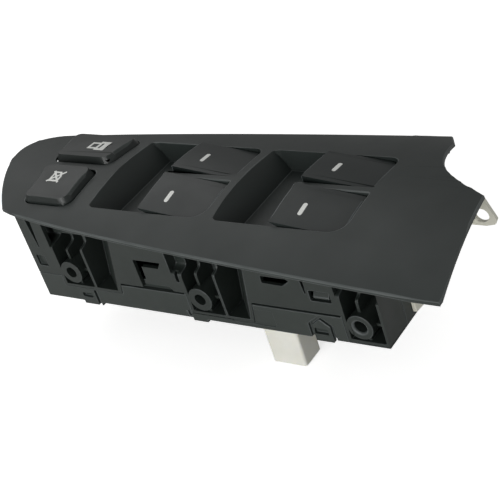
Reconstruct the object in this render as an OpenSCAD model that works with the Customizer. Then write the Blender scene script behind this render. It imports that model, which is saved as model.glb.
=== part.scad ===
// Power window switch for a driver's door: a crowned trim panel over a moulded
// switch housing, with four window rockers and two lock buttons.
// Lengths are millimetres. X runs along the panel, Y from the front edge to the
// back edge and Z up. The origin is the mouth of the middle screw boss.

/* [Trim panel] */
// Height of the panel's crest over the underside of the cover
crest_z = 45.6; // [44:0.5:50]
// Distance of the crest line behind the housing's front face
crest_y = 30.5; // [26:0.5:34]
// Radius of the panel's crown, seen from the end
crown_r = 138; // [120:1:170]
// Thickness of the panel
panel_t = 1.6; // [1.4:0.1:2.2]
// Overhang past the housing's left end
over_left = 27; // [22:1:34]
// Overhang past the housing's right end
over_right = 35.2; // [30.2:0.5:43.7]
// Overhang in front of the housing at the right corner
over_front = 15.7; // [13.7:0.5:19.7]
// Overhang behind the housing at the right corner
over_back = 23.9; // [20.4:0.5:27.9]
// Depth of the notch in the right end, from its tip towards the wells
notch_l = 29.8; // [27.3:0.5:31.8]

/* [Finger wells] */
// Distance of the first well from the housing's left end
well_x = 35.2; // [34:0.2:40]
// Length of one well
well_l = 56.4; // [54:0.4:62]
// Strip of panel between the two wells
well_strip = 3.7; // [3:0.1:6]
// Distance of the wells behind the housing's front face
well_y = 6.6; // [6.2:0.2:9]
// Width of the rib between the near and the far rocker
rib_w = 3.1; // [2.8:0.1:5]
// Length of the finger scoop in front of a rocker's lip
scoop_l = 26.4; // [23:0.2:29]
// Depth of the scoop under the crest
scoop_depth = 11; // [9.5:0.5:12]

/* [Rockers] */
// Width of a rocker cap
rocker_w = 20.5; // [18:0.5:24]
// Clearance at each side of a rocker
rocker_gap = 0.5; // [0.4:0.1:0.8]
// Clearance behind a rocker's tail
tail_gap = 1.1; // [1:0.1:1.6]
// Height of the lip over the crest
lip_rise = 1.4; // [0.8:0.1:2.2]
// Depth of the tail under the crest
tail_drop = 2.2; // [1.4:0.1:2.8]
// Distance of the pivot behind the lip, as a share of the rocker's length
pivot_share = 0.62; // [0.56:0.01:0.66]
// Radius of the pivot pins
pin_r = 1.4; // [1.2:0.1:1.6]
// Tilt of a rocker each way, in degrees
rocker_tilt = 7; // [5:0.5:8]
// Length of the white mark on a rocker
mark_l = 6; // [4.5:0.5:8]
// Width of the white mark
mark_w = 1.7; // [1.2:0.1:2.4]

/* [Lock buttons] */
// Height of the lock buttons over the panel
button_rise = 2.6; // [2.4:0.1:3.4]
// Travel of a lock button
button_travel = 2.2; // [1.5:0.1:2.2]
// Gap between a lock button and the panel
button_gap = 0.4; // [0.3:0.1:0.7]

/* [Housing] */
// Wall of the housing and of the cover
wall = 1.8; // [1.6:0.1:2.2]
// Height of the bottom cover
cover_h = 12; // [10:0.5:14]
// Shadow gap between the housing and the cover
split_gap = 0.9; // [0.5:0.1:1.4]
// Depth of the screw boss bays in the front
bay_depth = 12; // [10:0.5:13]
// Outer radius of a screw boss
boss_r = 5.2; // [4.6:0.1:5.6]
// Radius of the screw hole in a boss
boss_hole_r = 2.5; // [2:0.1:3]
// Thickness of the ribs round a boss
rib_t = 1.2; // [1:0.1:1.6]
// Height of the right boss over the underside of the cover
boss_low_z = 7.8; // [7.4:0.2:9]
// Height of the middle boss
boss_mid_z = 9.7; // [9.2:0.2:11.5]
// Height of the left boss
boss_high_z = 14.1; // [13.5:0.2:15.5]

/* [Connector and bracket] */
// Length of the connector shell
conn_l = 15; // [13:0.5:19]
// Width of the connector shell
conn_w = 11; // [10:0.5:11.5]
// Reach of the connector under the cover
conn_drop = 18.5; // [14:0.5:24]
// Thickness of the side bracket
bracket_t = 1.6; // [1.2:0.1:2]
// Radius of the hole in the bracket's ear
ear_hole_r = 2.8; // [2.2:0.1:3.2]
// Reach of the bracket's ear past the housing
ear_reach = 22; // [19:0.5:27]

/* [Hidden] */

$fn = 64;
facets = 32;
eps = 0.01;
fit = 0.05;
seat = 0.2;
slide_gap = 0.15;

// Plan of the wells, rockers and housing
bay_w = rocker_w + 2 * rocker_gap;
wells_w = 2 * bay_w + rib_w;
well_pitch = well_l + well_strip;
right_margin = 11.3;
housing_l = well_x + 2 * well_l + well_strip + right_margin;
rear_gap = 0.3;
housing_d = well_y + wells_w + rear_gap + wall;
rocker_l = well_l - scoop_l - tail_gap;
pivot_run = pivot_share * rocker_l;
rocker_y = [well_y + rocker_gap, well_y + bay_w + rib_w + rocker_gap];
lip_x = [for (i = [0, 1]) well_x + scoop_l + i * well_pitch];
rocker_tilt_top = atan((lip_rise + tail_drop) / rocker_l);
rocker_crown_r = 102;

// Heights inside
pivot_drop = 8.6;
pivot_z = crest_z - pivot_drop;
scoop_floor_t = 1.4;
deck_z = crest_z - scoop_depth - scoop_floor_t - seat - 1.5;
deck_t = 1.5;
board_t = 1.6;
board_z = 6.6;
board_top = board_z + board_t;
tray_t = 0.8;
tray_h = 5;
slider_z = board_top + tray_t + slide_gap / 2;
slider_h = 5.7;
lever_tip_r = 1.5;
lever_tip_z = slider_z + 3.6;
lever_l = pivot_z - lever_tip_z;
lever_travel = lever_l * sin(rocker_tilt);

// Screw bosses in the front
boss_1_x = 19;
boss_2_run = 47.8;
boss_3_run = 10.4;
boss_x = [boss_1_x, well_x + boss_2_run, housing_l - boss_3_run];
boss_z = [boss_high_z, boss_mid_z, boss_low_z];
boss_left = 6.2;
boss_right = [11.3, 11.2, boss_3_run];
bay_floor_drop = 6;
bay_floor = [for (z = boss_z) z - bay_floor_drop];
// Free end of the front wall beside a bay's left plate: at the ledge and at the top
wall_end = [[-6.1, -6.1], [-9.7, -11.9], [-6.6, -7.4]];
slot_run = [6.7, 3.6, 1.6];
// Pockets beside the bays: a wall at an angle closes each, and leans back
pocket_end = [41.3, well_x + 69.2];
pocket_depth = [8.8, 10.4];
pocket_lean = 0.21;
// Ledges of each bay, at the left plate, the middle rib and the right plate: height, and
// how far the plate stands back above it
shelf_z = [[26.6, 24.3, 27], [21.3, 20.8, 23], [21.2, 18.3, 19.8]];
shelf_back = [[7.2, 7.5, 4.1], [4.8, 6, 3.4], [3.9, 5.4, 4.2]];
shelf_round = 2.2;
upper_back_y = well_y - panel_t;

// Lock buttons, as the corners of their bases
window_lock_base = [[2.8, 5.7], [26.2, 5.7], [26, 27.6], [-0.8, 27.6]];
door_lock_base = [[-1.4, 31.9], [28.6, 31.9], [30.4, 52.2], [-5.2, 52.2]];
window_lock_at = [14.5, 20];
door_lock_at = [12.5, 42];
window_sign_at = [11.7, 18.6];
door_sign_at = [16.4, 41.7];
button_round = [[2.6, 4.4, 3.4, 3.4], [2.8, 5, 3.4, 3.4]];
button_draft = 1.7;
button_skirt = 4;
stem_r = 3.2;
stem_bore_r = stem_r + slide_gap;
collar_wall = 1.4;
collar_h = 3.5;
tact_h = 5;
stem_end_z = board_top + tact_h + button_travel + seat;

// Screws and posts
screw_r = 1.3;
screw_head_r = 2.6;
screw_head_h = 1.6;
post_r = 3.2;
lug_z = 32;
lug_t = 2.2;
lug_out = 3.6;
lug_at = [[boss_x[1] - 13, housing_d + lug_out], [boss_x[1] + 35, housing_d + lug_out], [-lug_out, 16]];

// Bracket
bracket_y = 18.3;
ear_y = 49;
ear_z = [19.5, 31];
ear_hole = [housing_l + 17.5, 24];
bracket_screw_at = [[27, 20], [42, 20]];

// Connector
conn_x = boss_x[1] + 23;
conn_y = 2.6;
conn_wall = 1.3;
pin_count = 7;
pin_t = 0.64;

// The part's own frame starts at the mouth of the middle screw boss
module in_frame() translate([-boss_x[1], 0, -boss_z[1]]) children();

// Extrusions along X and along Y, of outlines drawn as (y, z) and as (x, z)
module along_x(x, l) translate([x, 0, 0]) rotate([90, 0, 90]) linear_extrude(l) children();
module along_y(y, l) translate([0, y + l, 0]) rotate([90, 0, 0]) linear_extrude(l) children();
module along_z(z, l) translate([0, 0, z]) linear_extrude(l) children();
module block(a, b) translate(a) cube(b - a);

// A point of a cubic curve, and the curve as a list of points
function curve_point(p, t) = pow(1 - t, 3) * p[0] + 3 * t * pow(1 - t, 2) * p[1]
    + 3 * t * t * (1 - t) * p[2] + t * t * t * p[3];
function curve(p, n) = [for (i = [0:n - 1]) curve_point(p, i / n)];

// A convex outline moved out by d, and one with its corners rounded to r, or to a list of radii
function unit(v) = v / norm(v);
function edge_out(a, b) = [unit(b - a)[1], -unit(b - a)[0]];
function corner_out(a, b, c) = let (m = edge_out(a, b), n = edge_out(b, c)) (m + n) / (1 + m * n);
function grow(p, d) = [for (i = [0:len(p) - 1])
    p[i] + d * corner_out(p[(i + len(p) - 1) % len(p)], p[i], p[(i + 1) % len(p)])];
function turn_of(v) = atan2(v[1], v[0]);
function rounded(p, r, steps = 6) = [for (i = [0:len(p) - 1])
    let (a = p[(i + len(p) - 1) % len(p)], b = p[i], c = p[(i + 1) % len(p)],
        q = is_list(r) ? r[i] : r, centre = b - q * corner_out(a, b, c),
        from = turn_of(edge_out(a, b)), sweep = (turn_of(edge_out(b, c)) - from + 720) % 360)
    for (k = [0:steps]) centre + q * [cos(from + sweep * k / steps), sin(from + sweep * k / steps)]];

// Solid bounded by the crown, lowered by drop: a cylinder that lies along X
module under_crown(drop = 0) translate([housing_l / 2, crest_y, crest_z - crown_r])
    rotate([0, 90, 0]) cylinder(r = crown_r - drop, h = 3 * housing_l, center = true, $fn = 360);

// Corners of the panel's outline: front left and right, tip of the notch, back right and left
front_left = [-6.5, 0.9];
front_right = [housing_l + over_right, -over_front];
notch_tip = [housing_l + over_right - 4.5, 31.8];
back_right = [housing_l - 4.8, housing_d + over_back];
notch_end = [notch_tip[0] - notch_l, back_right[1] - 9.1];
back_left = [-14.4, housing_d - 1.9];
left_end = [-over_left, 37.8];
corner_r = 2;
panel_outline = concat(
    curve([front_left, [15, -6.4], [140, -13.2], front_right - [corner_r, -0.2]], 20),
    [front_right + [-0.5, 0.5], front_right + [-0.1, corner_r]],
    curve([notch_tip, notch_tip + [-0.65 * notch_l, 10.8], notch_end + [3.5, -23.1], notch_end], 24),
    [notch_end],
    curve([back_right, back_right - [60, 7.6], back_left + [25, 6], back_left], 16),
    curve([back_left, [-22.5, housing_d - 4.4], left_end + [-0.2, 7.2], left_end], 8),
    curve([left_end, left_end + [0.2, -8.8], [-17, 12], front_left], 10));

// Corners of a well, from the front left round to the back left
well_round = [3.6, 6.8, 4.2, 4.2];
module well_outline(i, d = 0) polygon(concat(
    rounded(grow([for (c = [[0, 0], [well_l, 0], [well_l, wells_w], [0, wells_w]])
        c + [well_x + i * well_pitch, well_y]], d), [for (r = well_round) r + d])));

// Slanted wall and floor of the finger scoop, seen from the front
scoop_slope = 6;
module scoop_section(x) polygon([[x - scoop_floor_t, crest_z], [x, crest_z],
    [x + scoop_slope, crest_z - scoop_depth], [x + scoop_l + 2, crest_z - scoop_depth],
    [x + scoop_l + 2, crest_z - scoop_depth - scoop_floor_t],
    [x + scoop_slope - 1, crest_z - scoop_depth - scoop_floor_t]]);

module scoop_side(x) polygon([[x - scoop_floor_t, crest_z], [x + scoop_l + 2, crest_z],
    [x + scoop_l + 2, crest_z - scoop_depth - scoop_floor_t],
    [x + scoop_slope - 1, crest_z - scoop_depth - scoop_floor_t]]);

rim_depth = 5.7;
rim_t = 1;
module trim_panel() color("#2b2e2e") in_frame() {
    difference() {
        intersection() {
            along_z(0, 2 * crest_z) polygon(panel_outline);
            difference() {
                under_crown();
                under_crown(panel_t);
            }
        }
        for (i = [0, 1]) along_z(0, 2 * crest_z) well_outline(i);
        for (b = [[window_lock_base, button_round[0]], [door_lock_base, button_round[1]]])
            along_z(0, 2 * crest_z) polygon(rounded(grow(b[0], button_gap), [for (r = b[1]) r + button_gap]));
    }
    // Rim round each well, scoop and the rib between the rockers
    intersection() {
        under_crown();
        for (i = [0, 1]) {
            difference() {
                along_z(crest_z - rim_depth, rim_depth) well_outline(i, rim_t);
                along_z(0, 2 * crest_z) well_outline(i);
            }
            along_y(well_y, wells_w) scoop_section(well_x + i * well_pitch);
            for (y = [well_y - rim_t, well_y + wells_w - eps])
                along_y(y, rim_t + eps) scoop_side(well_x + i * well_pitch);
            block([lip_x[i] - 1.6, well_y + bay_w, crest_z - rim_depth],
                [lip_x[i] - scoop_l + well_l + 1, well_y + bay_w + rib_w, crest_z]);
            block([lip_x[i] - 1.6, well_y + bay_w, crest_z - scoop_depth - eps],
                [lip_x[i] + 2, well_y + bay_w + rib_w, crest_z]);
        }
    }
    // Screw posts under the panel
    for (p = lug_at) intersection() {
        under_crown(eps);
        difference() {
            translate([p[0], p[1], lug_z + lug_t]) cylinder(r = post_r, h = crest_z);
            translate([p[0], p[1], lug_z + lug_t - eps]) cylinder(r = screw_r + fit, h = 5.5);
        }
    }
}

// Front edge of a rib or plate: at the height z it steps back in an S under the panel
function s_edge(z, front, back) = curve([[front, z - shelf_round / 2], [front, z + shelf_round / 2],
    [back, z - shelf_round / 3], [back, z + shelf_round]], 10);
function s_profile(i, front, back, z) = concat([[front, bay_floor[i]]], s_edge(z, front, back),
    [[back, z + shelf_round], [back, crest_z], [bay_depth + eps, crest_z], [bay_depth + eps, bay_floor[i]]]);

module rib_at(i, x, front) intersection() {
    along_x(x, rib_t) polygon(s_profile(i, front, shelf_back[i][1], shelf_z[i][1]));
    union() {
        block([0, 0, 0], [housing_l, bay_depth + 2 * eps, deck_z]);
        block([0, 0, 0], [housing_l, upper_back_y + eps, crest_z]);
    }
    under_crown(panel_t + seat);
}

// One boss bay: side plates, floor and back
module bay_shell(i) intersection() {
    under_crown(panel_t + seat);
    union() {
        block([boss_x[i] - boss_left, 0, bay_floor[i] - rib_t],
            [boss_x[i] + boss_right[i], bay_depth + rib_t, deck_z]);
        block([boss_x[i] - boss_left, 0, deck_z - eps], [boss_x[i] + boss_right[i], well_y, crest_z]);
        // Room for the slot behind the free end of the front wall
        block([boss_x[i] - boss_left + rib_t - slot_run[i] - 2 * rib_t, 0, shelf_z[i][0] - rib_t],
            [boss_x[i] - boss_left + eps, shelf_back[i][0] + rib_t, crest_z]);
    }
}

module bay_cut(i) {
    left = boss_x[i] - boss_left + rib_t;
    right = boss_x[i] + boss_right[i];
    block([left, -1, bay_floor[i]], [right - rib_t, bay_depth, 2 * crest_z]);
    // Above the ledge the plates stand back: the left one with a slot beside it, and the right one
    along_x(left - rib_t - slot_run[i], rib_t + slot_run[i] + eps)
        stand_back(shelf_z[i][0], shelf_back[i][0], wall);
    intersection() {
        along_x(left - rib_t - slot_run[i], rib_t + slot_run[i] + eps)
            stand_back(shelf_z[i][0], shelf_back[i][0], -1);
        along_y(-2, wall + 2 + eps) polygon([[boss_x[i] + wall_end[i][0], bay_floor[i]],
            [left + eps, bay_floor[i]], [left + eps, 2 * crest_z], [boss_x[i] + wall_end[i][1], crest_z],
            [boss_x[i] + wall_end[i][0], shelf_z[i][0]]]);
    }
    along_x(right - rib_t - eps, rib_t + (i == 2 ? 0 : 2 * eps))
        stand_back(shelf_z[i][2], shelf_back[i][2], -1);
}

// Room in front of a plate that stands back above the height z, from the depth front on
module stand_back(z, back, front) difference() {
    polygon(concat([[-1, z - shelf_round / 2]], s_edge(z, 0, back),
        [[back, z + shelf_round], [back, 2 * crest_z], [-1, 2 * crest_z]]));
    translate([-2, 0]) square([front + 2, 2 * crest_z]);
}

module boss(i) translate([boss_x[i], bay_depth + eps, boss_z[i]]) rotate([90, 0, 0])
    cylinder(r = boss_r, h = bay_depth + eps);

module boss_bore(i) translate([boss_x[i], bay_depth + rib_t + 1, boss_z[i]]) rotate([90, 0, 0])
    cylinder(r = boss_hole_r, h = bay_depth + rib_t + 2);

module boss_ribs(i) {
    rib_at(i, boss_x[i] - rib_t / 2, 2.3);
    block([boss_x[i] + boss_r - 0.6, 3, boss_z[i] - rib_t / 2],
        [boss_x[i] + boss_right[i] - rib_t + eps, bay_depth + eps, boss_z[i] + rib_t / 2]);
    block([boss_x[i] + 1.6, 1.2, bay_floor[i] - eps],
        [boss_x[i] + 1.6 + rib_t, bay_depth + eps, boss_z[i] - boss_r + 0.8]);
}

// Pocket beside a bay, open to the front: its plan at the height z
function pocket_plan(i, z) = let (x = boss_x[i] + boss_right[i], back = pocket_lean * (z - bay_floor[i]),
        d = pocket_depth[i] + back, run = pocket_end[i] - x) [[x - rib_t / 2, -run / 5],
        [x + run * (1 + back / pocket_depth[i] + 0.2), -d / 5], [x + 0.3, d], [x - rib_t / 2, d]];
module pocket(i, low, high, d) hull() for (z = [low, high])
    along_z(z, eps) polygon(grow(pocket_plan(i, z), d));
module pocket_shell(i) intersection() {
    pocket(i, bay_floor[i] - rib_t, deck_z - 2 * eps, rib_t);
    block([0, 0, 0], [housing_l, housing_d, deck_z]);
}
module pocket_cut(i) difference() {
    pocket(i, bay_floor[i], crest_z, 0);
    block([0, -2 * bay_depth, 0], [boss_x[i] + boss_right[i], housing_d, 2 * crest_z]);
}

// Openings in the front wall: a slit is a wedge down to a point, from x to x + w at its wide end
function slit(x, w, wide, point) = [[point[0] - 0.2, point[1]], [point[0] + 0.2, point[1]],
    [x + w, wide], [x + w, crest_z], [x, crest_z], [x, wide]];

// Outlines of the cuts as (x, z), with x from the axis of a boss: left, middle and right
latch_x = [-17.5, -8.8];
latch_z = [17.2, 21.7];
wall_cuts = [
    [slit(-14.1, 2.7, 39, [-12.6, 25.2])],
    [[[-27, cover_h - 1], [-27, 25.2], [-13.6, 25.2], [-15.4, 22.3], [-23.8, 22.3], [-23.8, 16.8],
            [-25.4, 14], [-13.2, 14], [-11.2, cover_h - 1]],
        [[-8.4, 17], [-7, 17], [-6.9, 21.6], [-8.3, 21.9]],
        [[32.6, 22.4], [41.4, 22.1], [44.8, 24.6], [43.6, 25.4], [32.8, 25.4]]],
    [slit(-20.1, 1.6, 27, [-19.1, 19.9]),
        [[latch_x[0], latch_z[0]], [latch_x[1], latch_z[0]], [latch_x[1], latch_z[1]], [latch_x[0], latch_z[1]]]]];
blind_x = [-16.6, -11.8];
blind_z = [15.9, 21];
module front_cuts() {
    along_y(-1, wall + 1 + eps) for (i = [0:2]) for (outline = wall_cuts[i])
        translate([boss_x[i], 0]) polygon(outline);
    // Square recess at the left end
    block([boss_x[0] + blind_x[0], -1, blind_z[0]], [boss_x[0] + blind_x[1], wall - 0.6, blind_z[1]]);
}

// Lower shell, open towards the cover, and the walls above its deck
module lower_shell() difference() {
    block([0, 0, cover_h], [housing_l, housing_d, deck_z]);
    block([wall, wall, -1], [housing_l - wall, housing_d - wall, deck_z - deck_t]);
}

module upper_walls() intersection() {
    under_crown(panel_t + seat);
    difference() {
        block([0, 0, deck_z - eps], [housing_l, housing_d, crest_z]);
        block([wall, wall, deck_z - 2 * eps], [housing_l - wall, housing_d - wall, crest_z + 1]);
    }
}

// Plate and deck that close the bays in front of the wells
module upper_back() {
    block([boss_x[0] - boss_left, upper_back_y, deck_z - eps],
        [housing_l - wall + eps, well_y, crest_z - rim_depth - seat]);
    block([boss_x[0] - boss_left, upper_back_y, deck_z - deck_t],
        [housing_l - wall + eps, bay_depth + eps, deck_z]);
}

// Plates that carry the rocker pins
upright_l = 9;
module uprights() for (x = lip_x) for (y = [[upper_back_y, well_y],
        [well_y + bay_w, well_y + bay_w + rib_w], [housing_d - wall, housing_d]])
    block([x + pivot_run - upright_l / 2, y[0], deck_z - eps],
        [x + pivot_run + upright_l / 2, y[1], crest_z - rim_depth - seat]);

module rocker_pin_bores() for (x = lip_x) translate([x + pivot_run, housing_d + 1, pivot_z])
    rotate([90, 0, 0]) cylinder(r = pin_r + fit, h = housing_d - upper_back_y + 2);

// Room for the panel's scoops and rims, the rockers and the lock buttons
module well_room() {
    for (i = [0, 1]) {
        x = well_x + i * well_pitch;
        block([x - scoop_floor_t - seat, well_y - rim_t - seat,
            crest_z - scoop_depth - scoop_floor_t - seat],
            [x + scoop_l + 2 + seat, well_y + wells_w + rim_t + seat, 2 * crest_z]);
        block([x - rim_t - seat, well_y - rim_t - seat, crest_z - rim_depth - seat],
            [x + well_l + rim_t + seat, well_y + wells_w + rim_t + seat, 2 * crest_z]);
    }
    for (b = [window_lock_base, door_lock_base])
        along_z(crest_z - button_skirt - button_travel - 0.5, crest_z) polygon(grow(b, 0.6));
}

module lever_slots() for (x = lip_x) for (y = rocker_y)
    block([x + pivot_run - 3.6, y + rocker_w / 2 - 3, deck_z - deck_t - 1],
        [x + pivot_run + 3.6, y + rocker_w / 2 + 3, deck_z + 1]);

module stem_collars() for (p = [window_lock_at, door_lock_at])
    translate([p[0], p[1], deck_z - deck_t - collar_h])
        cylinder(r = stem_bore_r + collar_wall, h = 2 * collar_h + deck_t);

module stem_bores() for (p = [window_lock_at, door_lock_at])
    translate([p[0], p[1], cover_h]) cylinder(r = stem_bore_r, h = crest_z);

module lugs() for (p = lug_at) hull() {
    translate([p[0], p[1], lug_z]) cylinder(r = post_r, h = lug_t, $fn = facets);
    translate([max(p[0], 1), min(p[1], housing_d - 1), lug_z])
        cylinder(r = post_r / 2, h = lug_t, $fn = facets);
}

module bracket_screw_holes() for (p = bracket_screw_at)
    translate([housing_l - wall - 1, p[0], p[1]]) rotate([0, 90, 0])
        cylinder(r = screw_r + fit, h = wall + 2);

module switch_housing() color("#262929") in_frame() difference() {
    union() {
        difference() {
            union() {
                lower_shell();
                upper_walls();
                for (i = [0:2]) bay_shell(i);
                for (i = [0, 1]) pocket_shell(i);
            }
            for (i = [0:2]) bay_cut(i);
            for (i = [0, 1]) pocket_cut(i);
            front_cuts();
        }
        upper_back();
        uprights();
        for (i = [0:2]) {
            boss(i);
            boss_ribs(i);
        }
        lugs();
        stem_collars();
    }
    for (i = [0:2]) boss_bore(i);
    well_room();
    rocker_pin_bores();
    lever_slots();
    stem_bores();
    bracket_screw_holes();
    for (p = lug_at) translate([p[0], p[1], lug_z - 1]) cylinder(r = screw_r + fit, h = 2 * lug_t);
}

// Cover: an open tray with a lap joint, notched round the boss bays
clip_x = boss_x[2] - 16.7;
clip_half = 3.8;
clip_groove = 1.5;
module clip_outline(d = 0) polygon([[clip_x - clip_half - d, -2], [clip_x - clip_half - d, 5.8 + d / 3],
    [clip_x, 8.8 + d], [clip_x + clip_half + d, 5.8 + d / 3], [clip_x + clip_half + d, -2]]);

lap_h = 2.4;
lap_t = 1.1;
foot_h = 1.4;
// Feet of the clips, as runs from the axes of the left and the middle boss
foot_1 = [0.6, 10.4];
foot_2 = [-7, 0];
label_run = [12.7, 32.7];
label_z = [1.7, 9];
label_depth = 0.3;
board_post_r = 1.8;
board_post_in = [8, 6];
catch_t = 1.2;
module bottom_cover() color("#2c2f2f") in_frame() difference() {
    union() {
        difference() {
            block([0, 0, 0], [housing_l, housing_d, cover_h - seat]);
            block([wall, wall, wall], [housing_l - wall, housing_d - wall, cover_h + 1]);
        }
        difference() {
            union() {
                block([wall - eps, wall - eps, cover_h - lap_h],
                    [housing_l - wall + eps, housing_d - wall + eps, cover_h - split_gap]);
                block([wall + seat / 2, wall + seat / 2, cover_h - lap_h],
                    [housing_l - wall - seat / 2, housing_d - wall - seat / 2, cover_h + lap_h]);
            }
            block([wall + lap_t, wall + lap_t, cover_h - lap_h - 1],
                [housing_l - wall - lap_t, housing_d - wall - lap_t, cover_h + lap_h + 1]);
        }
        // Catch behind the window in the housing's front wall
        translate([boss_x[2], 0, 0]) {
            block([latch_x[0] + 1, wall + seat / 2, cover_h - lap_h],
                [latch_x[1] - 1, wall + lap_t, latch_z[1] - 0.6]);
            along_x(latch_x[0] + 1, latch_x[1] - latch_x[0] - 2) polygon([[wall + 0.5, latch_z[0] + 0.8],
                [wall - catch_t, latch_z[0] + 0.8], [wall - catch_t, latch_z[0] + 1.6],
                [wall + 0.5, latch_z[1] - 0.6]]);
        }
        // Feet of the clips under the front edge
        for (f = [[boss_x[0], foot_1], [boss_x[1], foot_2], [clip_x, [-clip_half, clip_half]]])
            block([f[0] + f[1][0], 0, -foot_h], [f[0] + f[1][1], wall, wall]);
        // Board supports
        for (x = [board_post_in[0], housing_l / 2, housing_l - board_post_in[0]])
            for (y = [bay_depth + 4.5, housing_d - board_post_in[1]])
                translate([x, y, wall - eps]) cylinder(r = board_post_r, h = board_z - wall + eps);
    }
    for (i = [0:2]) block([boss_x[i] - boss_left - seat, -1, bay_floor[i] - rib_t - seat],
        [boss_x[i] + boss_right[i] + seat + (i == 2 ? 2 : 0), bay_depth + rib_t + seat, crest_z]);
    for (i = [0, 1]) intersection() {
        pocket(i, bay_floor[i] - rib_t - seat, cover_h + 2 * lap_h, rib_t + seat);
        block([boss_x[i], -1, 0], [housing_l, housing_d, crest_z]);
    }
    // Shadow gap in the front face
    for (i = [0, 1]) block([pocket_end[i], -1, cover_h - split_gap],
        [boss_x[i + 1] - boss_left - 0.8, wall, cover_h + 1]);
    // House-shaped groove round the front clip, and its slot
    difference() {
        along_y(-eps, 1.2) clip_outline(clip_groove);
        along_y(-1, 3) clip_outline();
    }
    block([clip_x - 3.4, -1, 1.9], [clip_x + 2.4, 1.4, 4.5]);
    // Slot and groove under the left boss, and one by the middle boss
    translate([boss_x[0], 0, 0]) {
        block([1.4, -1, 2.2], [6.6, 1.3, 4.3]);
        block([8.2, -1, -2], [9.8, 1.3, 6.2]);
    }
    translate([boss_x[1], 0, 0]) {
        block([-8.4, -1, 1], [-7.2, 1, 3.4]);
        // Shallow place for a label, left bare
        along_y(-1, 1 + label_depth) polygon(rounded([for (c = [[0, 0], [1, 0], [1, 1], [0, 1]])
            [label_run[c[0]], label_z[c[1]]]], 1));
    }
    connector_window();
}

module connector_window() block([conn_x - seat, conn_y - seat, -1],
    [conn_x + conn_l + seat, conn_y + conn_w + seat, wall + 1]);

module circuit_board() color("#2e5a3c") in_frame() difference() {
    union() {
        block([wall + 2, bay_depth + rib_t + 0.5, board_z],
            [housing_l - wall - 2, housing_d - wall - 2, board_top]);
        block([conn_x - 0.5, wall + lap_t + 0.5, board_z], [conn_x + conn_l + 12, bay_depth + 5, board_top]);
    }
    conn_pin_array() translate([0, 0, board_z - 1]) cylinder(r = pin_t / 2 + 0.3, h = 3, $fn = 16);
}

module conn_pin_array() for (k = [0:pin_count - 1]) for (row = [-1, 1])
    translate([conn_x + conn_l / 2 + (k - (pin_count - 1) / 2) * 1.7, conn_y + conn_w / 2 + row * 1.6, 0])
        children();

// White shell with an open socket downwards
module connector_shell() color("#e9e7dc") in_frame() difference() {
    union() {
        along_z(-conn_drop, conn_drop + board_z) polygon(rounded([[conn_x, conn_y],
            [conn_x + conn_l, conn_y], [conn_x + conn_l, conn_y + conn_w], [conn_x, conn_y + conn_w]], 1.2));
        along_z(-1.4 - seat, 1.4) polygon(rounded([[conn_x - 3, conn_y - 1.2],
            [conn_x + conn_l + 1.4, conn_y - 1.2], [conn_x + conn_l + 1.4, conn_y + conn_w + 1.4],
            [conn_x - 3, conn_y + conn_w + 1.4]], 1));
        // Latch rail on the outside
        along_z(-conn_drop + 2, conn_drop - 2) polygon([[conn_x + conn_l / 2 - 2.5, conn_y + conn_w - eps],
            [conn_x + conn_l / 2 + 2.5, conn_y + conn_w - eps], [conn_x + conn_l / 2 + 2, conn_y + conn_w + 1.2],
            [conn_x + conn_l / 2 - 2, conn_y + conn_w + 1.2]]);
    }
    block([conn_x + conn_wall, conn_y + conn_wall, -conn_drop - 1],
        [conn_x + conn_l - conn_wall, conn_y + conn_w - conn_wall, -3]);
    conn_pin_array() translate([0, 0, -4]) cylinder(r = pin_t / 2, h = board_z + 6, $fn = 16);
}

module connector_pins() color("#c9a24a") in_frame() conn_pin_array()
    translate([0, 0, -conn_drop + 5]) cylinder(r = pin_t / 2 - 0.02, h = conn_drop + board_top - 4, $fn = 16);

// Rockers
module rocker_crown(i, drop = 0) translate([lip_x[i], crest_y, crest_z + lip_rise - rocker_crown_r])
    rotate([0, 90 + rocker_tilt_top, 0]) cylinder(r = rocker_crown_r - drop, h = 200, center = true, $fn = 360);

rocker_skirt = 7.6;
module rocker_section(i, d = 0) translate([lip_x[i], crest_z]) polygon([[d, -0.7], [d, 3],
    [rocker_l - d, 3], [rocker_l - d, -rocker_skirt - (d > 0 ? 2 : 0)],
    [8 + d, -rocker_skirt - (d > 0 ? 2 : 0)], [6 + d, -4.2], [1.2 + d, -1.9]]);

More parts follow.
